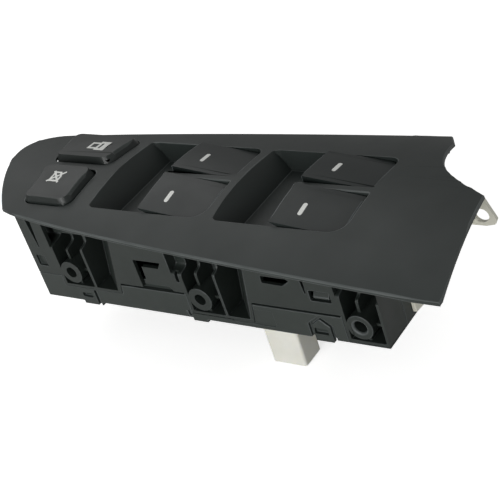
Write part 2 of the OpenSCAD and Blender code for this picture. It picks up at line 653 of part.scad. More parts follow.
rocker_wall = 1.6;
tail_round = [6.2, 3.8];
inner_round = 0.6;
module rocker(i, j) {
    y = rocker_y[j];
    mid = y + rocker_w / 2;
    px = lip_x[i] + pivot_run;
    difference() {
        intersection() {
            along_y(y, rocker_w) rocker_section(i);
            rocker_crown(i);
            along_z(0, 2 * crest_z) polygon(rounded([[lip_x[i] - pivot_run, y],
                [lip_x[i] + rocker_l, y], [lip_x[i] + rocker_l, y + rocker_w],
                [lip_x[i] - pivot_run, y + rocker_w]], [1, j == 0 ? tail_round[0] : inner_round,
                j == 0 ? inner_round : tail_round[1], 1]));
        }
        intersection() {
            along_y(y + rocker_wall, rocker_w - 2 * rocker_wall) rocker_section(i, rocker_wall);
            rocker_crown(i, rocker_wall + 0.4);
        }
        mark_cut(i, j);
    }
    // Bosses and pins of the pivot
    for (s = [0, 1]) {
        hull() {
            translate([px, y + rocker_wall + s * (rocker_w - 2 * rocker_wall), pivot_z])
                rotate([90, 0, 0]) cylinder(r = 2.4, h = rocker_wall, center = true, $fn = facets);
            translate([px - 2.4, y + rocker_wall / 2 + s * (rocker_w - 2 * rocker_wall), pivot_z + 3])
                cube([4.8, rocker_wall, eps]);
        }
        translate([px, mid + (s - 0.5) * rocker_w, pivot_z]) rotate([s == 0 ? 90 : -90, 0, 0])
            translate([0, 0, -1]) cylinder(r = pin_r, h = 1 + rocker_gap + 1.2);
    }
    // Lever down to the slider
    block([px - 1.2, mid - 1.8, lever_tip_z], [px + 1.2, mid + 1.8, crest_z - 3.6]);
    block([px - 1, y + rocker_wall / 2, pivot_z + 2], [px + 1, y + rocker_w - rocker_wall / 2, crest_z - 4]);
    translate([px, mid + 1.8, lever_tip_z]) rotate([90, 0, 0]) cylinder(r = lever_tip_r, h = 3.6);
}

mark_run = 0.335;
mark_side = [-1.9, -0.8];
mark_t = 0.5;
module mark_shape(i, j, d = 0)
    translate([lip_x[i] + mark_run * rocker_l, rocker_y[j] + rocker_w / 2 + mark_side[j], 0])
    linear_extrude(2 * crest_z)
    polygon(rounded([[-mark_w / 2 - d, -mark_l / 2 - d], [mark_w / 2 + d, -mark_l / 2 - d],
        [mark_w / 2 + d, mark_l / 2 + d], [-mark_w / 2 - d, mark_l / 2 + d]], mark_w / 2 - 0.05));

module mark_cut(i, j) difference() {
    mark_shape(i, j);
    rocker_crown(i, mark_t);
}

module rocker_mark(i, j) intersection() {
    mark_shape(i, j);
    rocker_crown(i, -0.03);
    difference() {
        mark_shape(i, j, 1);
        rocker_crown(i, mark_t);
    }
}

module near_rocker_1() color("#313534") in_frame() rocker(0, 0);
module far_rocker_1() color("#313534") in_frame() rocker(0, 1);
module near_rocker_2() color("#313534") in_frame() rocker(1, 0);
module far_rocker_2() color("#313534") in_frame() rocker(1, 1);
module near_mark_1() color("#f4f5f1") in_frame() rocker_mark(0, 0);
module far_mark_1() color("#f4f5f1") in_frame() rocker_mark(0, 1);
module near_mark_2() color("#f4f5f1") in_frame() rocker_mark(1, 0);
module far_mark_2() color("#f4f5f1") in_frame() rocker_mark(1, 1);

// Contact sliders, each in a tray that is soldered to the board
slider_half = [5, 3];
module slider(i, j) translate([lip_x[i] + pivot_run, rocker_y[j] + rocker_w / 2, slider_z]) difference() {
    translate([-slider_half[0], -slider_half[1], 0]) cube([2 * slider_half[0], 2 * slider_half[1], slider_h]);
    translate([-lever_tip_r - slide_gap, -2.1, 1.6]) cube([2 * (lever_tip_r + slide_gap), 4.2, slider_h]);
}
module near_slider_1() color("#d8d4c4") in_frame() slider(0, 0);
module far_slider_1() color("#d8d4c4") in_frame() slider(0, 1);
module near_slider_2() color("#d8d4c4") in_frame() slider(1, 0);
module far_slider_2() color("#d8d4c4") in_frame() slider(1, 1);

module slider_trays() color("#1d1f20") in_frame() for (x = lip_x) for (y = rocker_y)
    translate([x + pivot_run, y + rocker_w / 2, board_top]) {
        inner = [slider_half[0] + lever_travel + 0.5, slider_half[1] + slide_gap];
        difference() {
            translate([-inner[0] - 1, -inner[1] - 1, 0]) cube([2 * inner[0] + 2, 2 * inner[1] + 2, tray_h]);
            translate([-inner[0], -inner[1], tray_t]) cube([2 * inner[0], 2 * inner[1], tray_h]);
        }
    }

// Lock buttons
module button_cap(base, round, at) {
    difference() {
        intersection() {
            union() {
                along_z(crest_z - button_skirt, button_skirt - 1.6) polygon(rounded(base, round));
                hull() {
                    along_z(crest_z - 1.7, eps) polygon(rounded(base, round, 4));
                    along_z(crest_z + button_rise + 1, eps)
                        polygon(rounded(grow(base, -button_draft), round, 4));
                }
            }
            under_crown(-button_rise);
        }
        intersection() {
            along_z(crest_z - button_skirt - 1, 2 * button_skirt)
                polygon(rounded(grow(base, -rocker_wall), 1.2));
            under_crown(rocker_wall - button_rise);
        }
    }
    intersection() {
        translate([at[0], at[1], stem_end_z]) cylinder(r = stem_r, h = crest_z);
        under_crown(rocker_wall / 2 - button_rise);
    }
}

module window_lock_button() color("#2f3332") in_frame() difference() {
    button_cap(window_lock_base, button_round[0], window_lock_at);
    difference() {
        sign_window();
        under_crown(-button_rise + mark_t);
    }
}

module door_lock_button() color("#2f3332") in_frame() difference() {
    button_cap(door_lock_base, button_round[1], door_lock_at);
    difference() {
        sign_door();
        under_crown(-button_rise + mark_t);
    }
}

// Generic signs: a window crossed out, and a padlock that lies on its side
module bar(a, b, w) let (d = b - a) translate(a) rotate(turn_of(d)) translate([0, -w / 2]) square([norm(d), w]);

sign_line = 0.9;
module sign_window() translate([window_sign_at[0], window_sign_at[1], 0]) linear_extrude(2 * crest_z) {
    difference() {
        polygon([[-2.6, -3], [2.6, -3], [2.6, 0.4], [1, 3], [-2.6, 3]]);
        polygon([[-1.7, -2.1], [1.7, -2.1], [1.7, 0.1], [0.5, 2.1], [-1.7, 2.1]]);
    }
    bar([-3.3, -3.2], [3.3, 3.2], sign_line);
    bar([-3.1, 3.2], [3, -3.4], sign_line);
}

module sign_door() translate([door_sign_at[0], door_sign_at[1], 0]) linear_extrude(2 * crest_z) {
    difference() {
        translate([-0.6, -3.4]) square([5.2, 6.8]);
        translate([0.7, -2]) square([1.1, 4]);
    }
    difference() {
        translate([-4.8, -2.5]) square([4.3, 5]);
        translate([-3.7, -1.4]) square([4, 2.8]);
    }
}

module window_lock_symbol() color("#e8eae6") in_frame() intersection() {
    sign_window();
    difference() {
        under_crown(-button_rise - 0.03);
        under_crown(-button_rise + mark_t);
    }
}

module door_lock_symbol() color("#e8eae6") in_frame() intersection() {
    sign_door();
    difference() {
        under_crown(-button_rise - 0.03);
        under_crown(-button_rise + mark_t);
    }
}

// Return springs: a wire swept along a helix
spring_r = 5.6;
wire_r = 0.35;
spring_turns = 4;
spring_z = deck_z + wire_r;
spring_h = crest_z - 0.3 - deck_z - 2 * wire_r;
module spring(at) {
    sides = 8;
    steps = 16 * spring_turns;
    points = [for (s = [0:steps]) for (k = [0:sides - 1])
        let (a = 360 * spring_turns * s / steps, r = spring_r + wire_r * cos(360 * k / sides))
        [r * cos(a), r * sin(a), spring_h * s / steps + wire_r * sin(360 * k / sides)]];
    translate([at[0], at[1], spring_z]) polyhedron(points, concat(
        [[for (k = [0:sides - 1]) k]],
        [for (s = [0:steps - 1]) for (k = [0:sides - 1]) let (n = (k + 1) % sides)
            [s * sides + k, (s + 1) * sides + k, (s + 1) * sides + n, s * sides + n]],
        [[for (k = [0:sides - 1]) (steps + 1) * sides - 1 - k]]));
}
module window_lock_spring() color("#9aa0a3") in_frame() spring(window_lock_at);
module door_lock_spring() color("#9aa0a3") in_frame() spring(door_lock_at);

tact_side = 6.2;
tact_body_h = 3.6;
tact_plunger_r = 1.7;
module tact_switches() color("#3a3c3e") in_frame() for (p = [window_lock_at, door_lock_at])
    translate([p[0], p[1], board_top]) {
        translate([-tact_side / 2, -tact_side / 2, 0]) cube([tact_side, tact_side, tact_body_h]);
        cylinder(r = tact_plunger_r, h = tact_h);
    }

lamp_body = [3.2, 2.8, 1.2];
lamp_lens_r = [1.2, 0.9];
lamp_lens_h = 0.7;
lamp_run = 8;
module lamps() color("#f3efe0") in_frame() for (x = [well_x - lamp_run, lip_x[0] - lamp_run, lip_x[1] - lamp_run])
    for (y = rocker_y) translate([x, y + rocker_w / 2, board_top]) {
        translate([-lamp_body[0] / 2, -lamp_body[1] / 2, 0]) cube(lamp_body);
        translate([0, 0, lamp_body[2] - eps])
            cylinder(r1 = lamp_lens_r[0], r2 = lamp_lens_r[1], h = lamp_lens_h);
    }

// Bracket on the right end, with an ear bent outwards at the back
module mounting_bracket() color("#e4e3d3") in_frame() difference() {
    union() {
        along_x(housing_l + seat / 2, bracket_t) polygon([[bracket_y, 2.2], [24, 1.4], [ear_y + bracket_t, 12],
            [ear_y + bracket_t, 33], [bracket_y + 4, 33], [bracket_y, 28]]);
        along_y(ear_y, bracket_t) polygon([[housing_l + seat / 2, ear_z[0] - 3],
            [housing_l + 6, ear_z[0]], [housing_l + ear_reach - 3.4, ear_z[0]],
            [housing_l + ear_reach, ear_z[0] + 0.9], [housing_l + ear_reach + 1, ear_z[0] + 3],
            [housing_l + ear_reach - 2.6, ear_z[1]], [housing_l + seat / 2, ear_z[1] + 2]]);
    }
    translate([ear_hole[0], ear_y + bracket_t + 1, ear_hole[1]]) rotate([90, 0, 0])
        cylinder(r = ear_hole_r, h = bracket_t + 2);
    for (p = bracket_screw_at) translate([housing_l - 1, p[0], p[1]]) rotate([0, 90, 0])
        cylinder(r = screw_r + fit, h = bracket_t + 3);
}

// Pan-head screw along +Z from its seat at the origin
module screw(l) {
    difference() {
        cylinder(r1 = screw_head_r, r2 = screw_head_r * 0.85, h = screw_head_h);
        for (a = [0, 90]) rotate(a) translate([-1.4, -0.3, screw_head_h - 0.9]) cube([2.8, 0.6, 1]);
    }
    translate([0, 0, -l]) cylinder(r = screw_r, h = l + eps);
}

module bracket_screws() color("#8d9194") in_frame() for (p = bracket_screw_at)
    translate([housing_l + seat / 2 + bracket_t, p[0], p[1]]) rotate([0, 90, 0]) screw(bracket_t + wall + 1);

module panel_screws() color("#8d9194") in_frame() for (p = lug_at)
    translate([p[0], p[1], lug_z]) rotate([180, 0, 0]) screw(lug_t + 4);

trim_panel();
switch_housing();
bottom_cover();
circuit_board();
connector_shell();
connector_pins();
near_rocker_1();
far_rocker_1();
near_rocker_2();
far_rocker_2();
near_mark_1();
far_mark_1();
near_mark_2();
far_mark_2();
near_slider_1();
far_slider_1();
near_slider_2();
far_slider_2();
slider_trays();
window_lock_button();
window_lock_symbol();
door_lock_button();
door_lock_symbol();
window_lock_spring();
door_lock_spring();
tact_switches();
lamps();
mounting_bracket();
bracket_screws();
panel_screws();
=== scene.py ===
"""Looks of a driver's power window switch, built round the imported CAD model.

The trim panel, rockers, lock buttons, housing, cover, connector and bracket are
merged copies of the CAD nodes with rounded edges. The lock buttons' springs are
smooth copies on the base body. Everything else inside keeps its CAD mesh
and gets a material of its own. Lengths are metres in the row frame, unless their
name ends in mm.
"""

from __future__ import annotations

import logging
import math
from dataclasses import dataclass, field
from enum import Enum
from typing import Any

import bmesh
import bpy
from mathutils import Matrix, Vector
from mathutils.bvhtree import BVHTree
from mathutils.geometry import intersect_point_line


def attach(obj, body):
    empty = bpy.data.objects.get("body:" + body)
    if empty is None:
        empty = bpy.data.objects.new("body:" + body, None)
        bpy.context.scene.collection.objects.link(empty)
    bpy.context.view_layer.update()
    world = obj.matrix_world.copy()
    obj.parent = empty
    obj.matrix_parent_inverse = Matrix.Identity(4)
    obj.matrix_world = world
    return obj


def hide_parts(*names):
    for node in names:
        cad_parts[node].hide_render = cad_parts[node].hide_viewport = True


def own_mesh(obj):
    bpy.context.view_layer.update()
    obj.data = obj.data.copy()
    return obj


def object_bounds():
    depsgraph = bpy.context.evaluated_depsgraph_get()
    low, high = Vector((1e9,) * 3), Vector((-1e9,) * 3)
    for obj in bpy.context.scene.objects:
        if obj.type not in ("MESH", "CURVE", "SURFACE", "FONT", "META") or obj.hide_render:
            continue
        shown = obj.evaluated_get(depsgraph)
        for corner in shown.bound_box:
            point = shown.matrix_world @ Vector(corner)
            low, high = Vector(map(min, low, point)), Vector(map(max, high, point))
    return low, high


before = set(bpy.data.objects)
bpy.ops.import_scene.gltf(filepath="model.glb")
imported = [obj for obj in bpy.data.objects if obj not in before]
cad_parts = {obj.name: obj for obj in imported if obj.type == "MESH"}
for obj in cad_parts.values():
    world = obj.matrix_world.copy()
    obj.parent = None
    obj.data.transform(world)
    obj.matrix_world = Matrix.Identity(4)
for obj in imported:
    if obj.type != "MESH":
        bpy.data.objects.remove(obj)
CAD_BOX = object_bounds()

LOG = logging.getLogger("window_switch")
MM = 0.001
# How deep light wanders in a translucent plastic
SCATTER_MM = 2.0
# Face attribute that is 1 on rounded edges
ROUNDED = "rounded"
# Material slot that marks the faces that the rounding adds
ADDED = 1
# Folded triangles smaller than this can't be seen
FOLD_AREA = 0.002 * MM * MM
# The frame's origin, seen from the housing's front left bottom corner
DRAWING_ORIGIN_MM = (83.0, 0.0, 9.7)
# Crest line of the panel's crown in the drawing, and the crown's radius
CREST_Y_MM = 30.5
CREST_Z_MM = 45.6
CROWN_MM = 138.0
# Corners of the CAD meshes closer than this are one corner
SAME_MM = 0.002
# Faces of the CAD meshes that turn less than this are one face
FLAT_DEG = 0.15
# Neighbouring edges that go on straighter than this don't limit a radius
STRAIGHT_DEG = 150.0
# Rounded edges narrower than this are left out
LEAST_MM = 0.04


def linear(colour: str) -> tuple[float, float, float, float]:
    """Turns an sRGB hex colour into linear light.

    Args:
        colour: Six hex digits after a hash sign.

    Returns:
        Red, green, blue and an alpha of 1.
    """
    parts = [int(colour[i : i + 2], 16) / 255 for i in (1, 3, 5)]
    red, green, blue = (
        p / 12.92 if p <= 0.04045 else ((p + 0.055) / 1.055) ** 2.4 for p in parts
    )
    return red, green, blue, 1.0


def add_node(
    tree: bpy.types.NodeTree, kind: str, inputs: dict[str | int, Any], **settings: Any
) -> bpy.types.Node:
    """Adds one node with its settings, values and links.

    Args:
        tree: The node tree that gets the node.
        kind: The node's type name.
        inputs: A value, or a socket to link from, for each input's name or number.
        settings: Attributes of the node itself.

    Returns:
        The new node.
    """
    node = tree.nodes.new(kind)
    for name, value in settings.items():
        setattr(node, name, value)
    for name, value in inputs.items():
        if isinstance(value, bpy.types.NodeSocket):
            tree.links.new(value, node.inputs[name])
        else:
            node.inputs[name].default_value = value
    return node


def hang(name: str, data: bpy.types.ID) -> bpy.types.Object:
    """Makes an object at the origin and links it to the scene.

    Args:
        name: The object's name.
        data: Its mesh, lamp or camera.

    Returns:
        The new object.
    """
    made = bpy.data.objects.new(name, data)
    bpy.context.scene.collection.objects.link(made)
    return made


class Grain(Enum):
    """How a mould's surface was made: grain size and height in millimetres."""

    SPARK_ERODED = (0.42, 0.020)
    FINE_SPARK = (0.30, 0.010)
    SATIN = (0.55, 0.006)
    BLASTED = (0.35, 0.015)
    DRAWN = (0.9, 0.008)


@dataclass(frozen=True)
class Finish:
    """One real material as it leaves its mould, press or bath.

    Attributes:
        name: The material's common name and how its surface was made.
        colour: Main colour, sRGB hex.
        second: Colour of its slow cloudy variation, sRGB hex.
        roughness: Middle roughness of the surface.
        spread: How far the roughness wanders each way.
        grain: Surface left by the tool.
        cloud_mm: Size of the slow colour variation.
        edge_highlight: Colour of a painted highlight on rounded edges, sRGB hex, or empty where
            none show.
        metallic: 1 for metals.
        ior: Index of refraction.
        coat: Weight of a clear skin on top.
        subsurface: Share of light that goes into a translucent plastic.
    """

    name: str
    colour: str
    second: str
    roughness: float
    spread: float
    grain: Grain
    cloud_mm: float = 18.0
    edge_highlight: str = ""
    metallic: float = 0.0
    ior: float = 1.5
    coat: float = 0.0
    subsurface: float = 0.0

    def material(self) -> bpy.types.Material:
        """Builds the finish as a procedural material, once.

        Returns:
            The material.
        """
        made = bpy.data.materials.get(self.name)
        if made:
            return made
        made = bpy.data.materials.new(self.name)
        made.use_nodes = True
        tree = made.node_tree
        tree.nodes.clear()
        coords = add_node(tree, "ShaderNodeTexCoord", {}).outputs["Object"]
        cloud = add_node(
            tree,
            "ShaderNodeTexNoise",
            {"Vector": coords, "Scale": 1 / (self.cloud_mm * MM), "Detail": 3.0, "Roughness": 0.6},
        )
        gloss = add_node(
            tree,
            "ShaderNodeMapRange",
            {
                "Value": cloud.outputs["Fac"],
                "From Min": 0.3,
                "From Max": 0.7,
                "To Min": self.roughness - self.spread,
                "To Max": self.roughness + self.spread,
            },
        )
        surface = add_node(
            tree,
            "ShaderNodeBsdfPrincipled",
            {
                "Base Color": self.tone(tree, cloud.outputs["Fac"]),
                "Roughness": gloss.outputs[0],
                "Metallic": self.metallic,
                "IOR": self.ior,
                "Coat Weight": self.coat,
                "Subsurface Weight": self.subsurface,
                "Normal": self.relief(tree, coords),
            },
        )
        surface.inputs["Subsurface Radius"].default_value = (0.9, 0.8, 0.6)
        surface.inputs["Subsurface Scale"].default_value = SCATTER_MM * MM
        add_node(tree, "ShaderNodeOutputMaterial", {"Surface": surface.outputs["BSDF"]})
        return made

    def tone(self, tree: bpy.types.NodeTree, cloud: bpy.types.NodeSocket) -> bpy.types.NodeSocket:
        """Mixes the finish's colours, and paints a highlight on its rounded edges.

        Args:
            tree: The material's tree.
            cloud: The slow variation.

        Returns:
            The colour's socket.
        """
        mixed = add_node(
            tree,
            "ShaderNodeMix",
            {"Factor": cloud, 6: linear(self.colour), 7: linear(self.second)},
            data_type="RGBA",
        ).outputs[2]
        if not self.edge_highlight:
            return mixed
        # Painted highlight: rounded edges are painted brighter, unevenly, where they would catch
        # the light
        share = add_node(
            tree,
            "ShaderNodeMapRange",
            {"Value": cloud, "From Min": 0.35, "From Max": 0.65, "To Min": 0.45, "To Max": 0.9},
        )
        edge = add_node(tree, "ShaderNodeAttribute", {}, attribute_name=ROUNDED).outputs["Fac"]
        highlight_mask = add_node(tree, "ShaderNodeMath", {0: share.outputs[0], 1: edge}, operation="MULTIPLY")
        return add_node(
            tree,
            "ShaderNodeMix",
            {"Factor": highlight_mask.outputs[0], 6: mixed, 7: linear(self.edge_highlight)},
            data_type="RGBA",
        ).outputs[2]

    def relief(
        self, tree: bpy.types.NodeTree, coords: bpy.types.NodeSocket
    ) -> bpy.types.NodeSocket:
        """Raises the grain that the tool leaves.

        Args:
            tree: The material's tree.
            coords: Where on the object a point lies.

        Returns:
            The normal's socket.
        """
        grain_mm, height_mm = self.grain.value
        pits = add_node(
            tree,
            "ShaderNodeTexNoise",
            {"Vector": coords, "Scale": 1 / (grain_mm * MM), "Detail": 2.0, "Roughness": 0.55},
        )
        return add_node(
            tree,
            "ShaderNodeBump",
            {"Height": pits.outputs["Fac"], "Strength": 0.5, "Distance": height_mm * MM},
        ).outputs["Normal"]


# Where a finish has a colour after its cloud size, that colour is a painted highlight on its
# rounded edges
# Spark-eroded ABS: a dull charcoal skin whose fine pits break up every reflection
PANEL_ABS = Finish(
    "abs_spark_eroded", "#282f2d", "#232927", 0.50, 0.04, Grain.SPARK_ERODED, 30.0, "#5c6160"
)
# Glass-filled PBT: a little glossier where the resin lies on top
HOUSING_PBT = Finish(
    "pbt_glass_filled", "#2a302d", "#232926", 0.42, 0.06, Grain.FINE_SPARK, 12.0, "#4b5050"
)
COVER_PBT = Finish(
    "pbt_cover", "#313734", "#292f2c", 0.45, 0.06, Grain.FINE_SPARK, 14.0, "#525757"
)
# Satin ABS, with a painted highlight along every rounded edge
ROCKER_ABS = Finish("abs_satin", "#1f2624", "#1b2120", 0.40, 0.04, Grain.SATIN, 16.0, "#666c6d")
BUTTON_ABS = Finish("abs_button", "#1e2422", "#1a201e", 0.42, 0.04, Grain.SATIN, 12.0, "#3d4341")
# Natural plastics let a little light in
MARK_PC = Finish("polycarbonate_white", "#f6f7f3", "#eceee9", 0.32, 0.04, Grain.SATIN, 4.0)
NYLON = Finish(
    "nylon_natural", "#efeee6", "#e2e1d6", 0.36, 0.05, Grain.SATIN, 7.0, subsurface=0.35
)
ACETAL = Finish(
    "acetal_natural", "#e9e7dd", "#dddbce", 0.38, 0.05, Grain.SATIN, 9.0, subsurface=0.2
)
LAMP_EPOXY = Finish(
    "lamp_epoxy", "#f4f0df", "#e8e2c8", 0.20, 0.03, Grain.SATIN, 2.0, subsurface=0.3
)
TRAY_PBT = Finish("pbt_tray", "#1e2122", "#191b1c", 0.48, 0.05, Grain.FINE_SPARK, 5.0)
SWITCH_LCP = Finish("lcp_switch_body", "#3b3d3f", "#323436", 0.44, 0.05, Grain.FINE_SPARK, 3.0)
# Clear solder mask over woven glass
BOARD_FR4 = Finish(
    "fr4_solder_mask", "#2c5c3d", "#244d33", 0.28, 0.05, Grain.SATIN, 3.0, coat=0.3
)
BRASS_TIN = Finish(
    "brass_tinned", "#cfc9b8", "#bdb59f", 0.30, 0.06, Grain.DRAWN, 2.0, metallic=1.0
)
SPRING_WIRE = Finish(
    "spring_steel_drawn", "#a4a8aa", "#8f9497", 0.28, 0.06, Grain.DRAWN, 3.0, metallic=1.0
)
ZINC = Finish(
    "steel_zinc_plated", "#b4b9bc", "#9ba1a6", 0.34, 0.08, Grain.BLASTED, 4.0, metallic=1.0
)
BRACKET_PAINT = Finish(
    "bracket_baked_enamel", "#e6e5d8", "#dcdacb", 0.40, 0.05, Grain.BLASTED, 10.0
)


def place(x_mm: float, y_mm: float, z_mm: float) -> Vector:
    """Turns a point of the drawing, in millimetres from the housing's corner, into the frame.

    Args:
        x_mm: Along the panel.
        y_mm: Behind the housing's front face.
        z_mm: Over the cover's underside.

    Returns:
        The point in metres.
    """
    return (Vector((x_mm, y_mm, z_mm)) - Vector(DRAWING_ORIGIN_MM)) * MM


@dataclass(frozen=True)
class Crown:
    """A cylinder that a crowned face lies on, so that the face shades as one curve.

    Attributes:
        centre: A point of its axis, in drawing millimetres.
        slope_deg: How far the axis falls towards +X.
        radii_mm: Radii of the faces that share the axis.
        slack_mm: How far a corner may lie off the cylinder.
        least_lean: Least cosine between a face and the cylinder's normal.
    """

    centre: tuple[float, float, float]
    slope_deg: float
    radii_mm: tuple[float, ...]
    slack_mm: float = 0.12
    least_lean: float = 0.985

    def normal_at(self, point: Vector, facing: Vector) -> Vector | None:
        """Finds the crown's normal at a corner of a face.

        Args:
            point: The corner, in metres.
            facing: The face's own normal.

        Returns:
            The normal, or nothing where the face isn't on the crown.
        """
        slope = math.radians(self.slope_deg)
        axis = Vector((math.cos(slope), 0.0, -math.sin(slope)))
        out = point - place(*self.centre)
        out -= out.dot(axis) * axis
        if min(abs(out.length / MM - radius) for radius in self.radii_mm) > self.slack_mm:
            return None
        out.normalize()
        lean = out.dot(facing)
        return out * math.copysign(1.0, lean) if abs(lean) > self.least_lean else None


@dataclass(frozen=True)
class Zone:
    """A box, in drawing millimetres, whose edges get a radius of their own.

    Attributes:
        low: Lowest corner.
        high: Highest corner.
        radius_mm: The radius inside the box.
    """

    low: tuple[float, float, float]
    high: tuple[float, float, float]
    radius_mm: float

    def holds(self, point: Vector) -> bool:
        """Says whether a point lies in the box.

        Args:
            point: The point, in metres.

        Returns:
            True inside the box.
        """
        low, high = place(*self.low), place(*self.high)
        return all(low[i] <= point[i] <= high[i] for i in range(3))


@dataclass(frozen=True)
class Shell:
    """A CAD node's merged copy with rounded edges, which stands for the node.

    Attributes:
        node: The CAD node.
        body: The body that it rides on.
        slot: The record's material slot; not used.
        finish: Its material.
        radius_mm: Radius of its edges, less where two edges are close.
        segments: Facets across a rounded edge.
        zones: Places with a radius of their own.
        crowns: Cylinders that its crowned faces lie on.
        sharp_deg: Edges turned further than this are rounded.
        weld_mm: Edges shorter than this are closed up.
        room: Share of a neighbouring edge that a rounded edge may take.
        tries: How often places where the rounding crosses itself are eased.
        stray: Share of the widest radius that the rounding may be off the surface.
        reach: How far a fault is felt, as a share of the widest radius.
    """

    node: str
    body: str
    slot: str
    finish: Finish
    radius_mm: float
    segments: int = 2
    zones: tuple[Zone, ...] = ()
    crowns: tuple[Crown, ...] = ()
    sharp_deg: float = 28.0
    weld_mm: float = 0.03
    room: float = 0.45
    tries: int = 8
    stray: float = 0.5
    reach: float = 1.2

    def build(self) -> None:
        """Copies, merges and rounds the node's mesh and puts the copy in its place."""
        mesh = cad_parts[self.node].data.copy()
        mesh.name = self.node + "_skin"
        mesh.materials.clear()
        for _ in range(ADDED + 1):
            mesh.materials.append(self.finish.material())
        widest = self.mark_edges(mesh)
        piece = hang(self.node + "_skin", mesh)
        piece.data = self.rounded(piece, widest)
        piece.data.name = self.node + "_skin"
        piece.modifiers.clear()
        bpy.data.meshes.remove(mesh)
        self.smooth(piece.data)
        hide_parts(self.node)
        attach(piece, self.body)
        LOG.info("%s: %d faces", piece.name, len(piece.data.polygons))

    def rounded(self, piece: bpy.types.Object, widest: float) -> bpy.types.Mesh:
        """Rounds the weighed edges, and eases them where the rounding crosses itself.

        Args:
            piece: The object with the weighed mesh.
            widest: The widest radius, in millimetres.

        Returns:
            The rounded mesh.
        """
        mesh = piece.data
        bevel = piece.modifiers.new("edges", "BEVEL")
        bevel.limit_method = "WEIGHT"
        bevel.width = widest * MM
        bevel.segments = self.segments
        bevel.profile = 0.5
        bevel.material = ADDED
        bevel.use_clamp_overlap = False
        bevel.miter_outer = "MITER_ARC"
        bare = bmesh.new()
        bare.from_mesh(mesh)
        surface = BVHTree.FromBMesh(bare)
        bare.free()
        for _ in range(self.tries):
            graph = bpy.context.evaluated_depsgraph_get()
            made = bpy.data.meshes.new_from_object(piece.evaluated_get(graph))
            faults = self.faults(made, surface, widest)
            LOG.info("%s: %d crossings", self.node, len(faults))
            if not faults:
                break
            self.ease(mesh, faults, widest)
        return made

    def mark_edges(self, mesh: bpy.types.Mesh) -> float:
        """Merges the copy's loose triangles and weighs each sharp edge by its radius.

        Args:
            mesh: The copy.

        Returns:
            The widest radius, in millimetres.
        """
        work = bmesh.new()
        work.from_mesh(mesh)
        bmesh.ops.remove_doubles(work, verts=work.verts, dist=SAME_MM * MM)
        bmesh.ops.dissolve_limit(
            work, angle_limit=math.radians(FLAT_DEG), verts=work.verts, edges=work.edges
        )
        bmesh.ops.dissolve_degenerate(work, dist=self.weld_mm * MM, edges=work.edges)
        widest = max([self.radius_mm] + [zone.radius_mm for zone in self.zones])
        weights = work.edges.layers.float.new("bevel_weight_edge")
        for edge in work.edges:
            edge[weights] = self.edge_radius(edge) / widest if self.is_sharp(edge) else 0.0
        work.to_mesh(mesh)
        work.free()
        return widest

    def faults(self, mesh: bpy.types.Mesh, surface: BVHTree, widest: float) -> list[Vector]:
        """Finds where the rounding strays from the surface or folds over.

        Args:
            mesh: The rounded copy.
            surface: The surface before the rounding.
            widest: The widest radius, in millimetres.

        Returns:
            The places.
        """
        work = bmesh.new()
        work.from_mesh(mesh)
        work.normal_update()
        found = []
        for corner in work.verts:
            if surface.find_nearest(corner.co)[3] > self.stray * widest * MM:
                found.append(corner.co.copy())
        for triple in work.calc_loop_triangles():
            first, second, third = (loop.vert.co for loop in triple)
            out = (second - first).cross(third - first)
            if out.length < 2 * FOLD_AREA:
                continue
            middle = (first + second + third) / 3
            face = triple[0].face
            added = face.material_index == ADDED
            true = surface.find_nearest(middle)[1] if added else face.normal
            if out.normalized().dot(true) < 0.0:
                found.extend(loop.vert.co.copy() for loop in triple)
        work.free()
        return found

    def ease(self, mesh: bpy.types.Mesh, faults: list[Vector], widest: float) -> None:
        """Halves the radii of the edges at the faults.

        Args:
            mesh: The copy before the rounding.
            faults: Where it went wrong.
            widest: The widest radius, in millimetres.
        """
        weights = mesh.attributes["bevel_weight_edge"].data
        reach = self.reach * widest * MM
        for edge in mesh.edges:
            if weights[edge.index].value == 0:
                continue
            start, stop = (mesh.vertices[i].co for i in edge.vertices)
            for fault in faults:
                spot, share = intersect_point_line(fault, start, stop)
                if share < 0 or share > 1:
                    spot = start if share < 0 else stop
                if (spot - fault).length < reach:
                    eased = weights[edge.index].value / 2
                    weights[edge.index].value = eased if eased * widest > LEAST_MM else 0.0
                    break

    def edge_radius(self, edge: bmesh.types.BMEdge) -> float:
        """Finds the radius that an edge has room for.

        Args:
            edge: The edge.

        Returns:
            The radius in millimetres.
        """
        middle = (edge.verts[0].co + edge.verts[1].co) / 2
        radius = self.radius_mm
        for zone in self.zones:
            if zone.holds(middle):
                radius = zone.radius_mm
        for corner in edge.verts:
            along = edge.other_vert(corner).co - corner.co
            for other in corner.link_edges:
                away = other.other_vert(corner).co - corner.co
                turn = along.angle(away, 0)
                if other is edge or turn > math.radians(STRAIGHT_DEG):
                    continue
                if self.is_sharp(other):
                    reach = min(along.length, away.length) * math.tan(turn / 2)
                else:
                    reach = away.length * math.sin(turn)
                radius = min(radius, self.room * reach / MM)
        return radius

    def is_sharp(self, edge: bmesh.types.BMEdge) -> bool:
        """Says whether an edge turns far enough to be rounded.

        Args:
            edge: The edge.

        Returns:
            True for a sharp edge between two faces.
        """
        return len(edge.link_faces) == 2 and edge.calc_face_angle(0) > math.radians(
            self.sharp_deg
        )

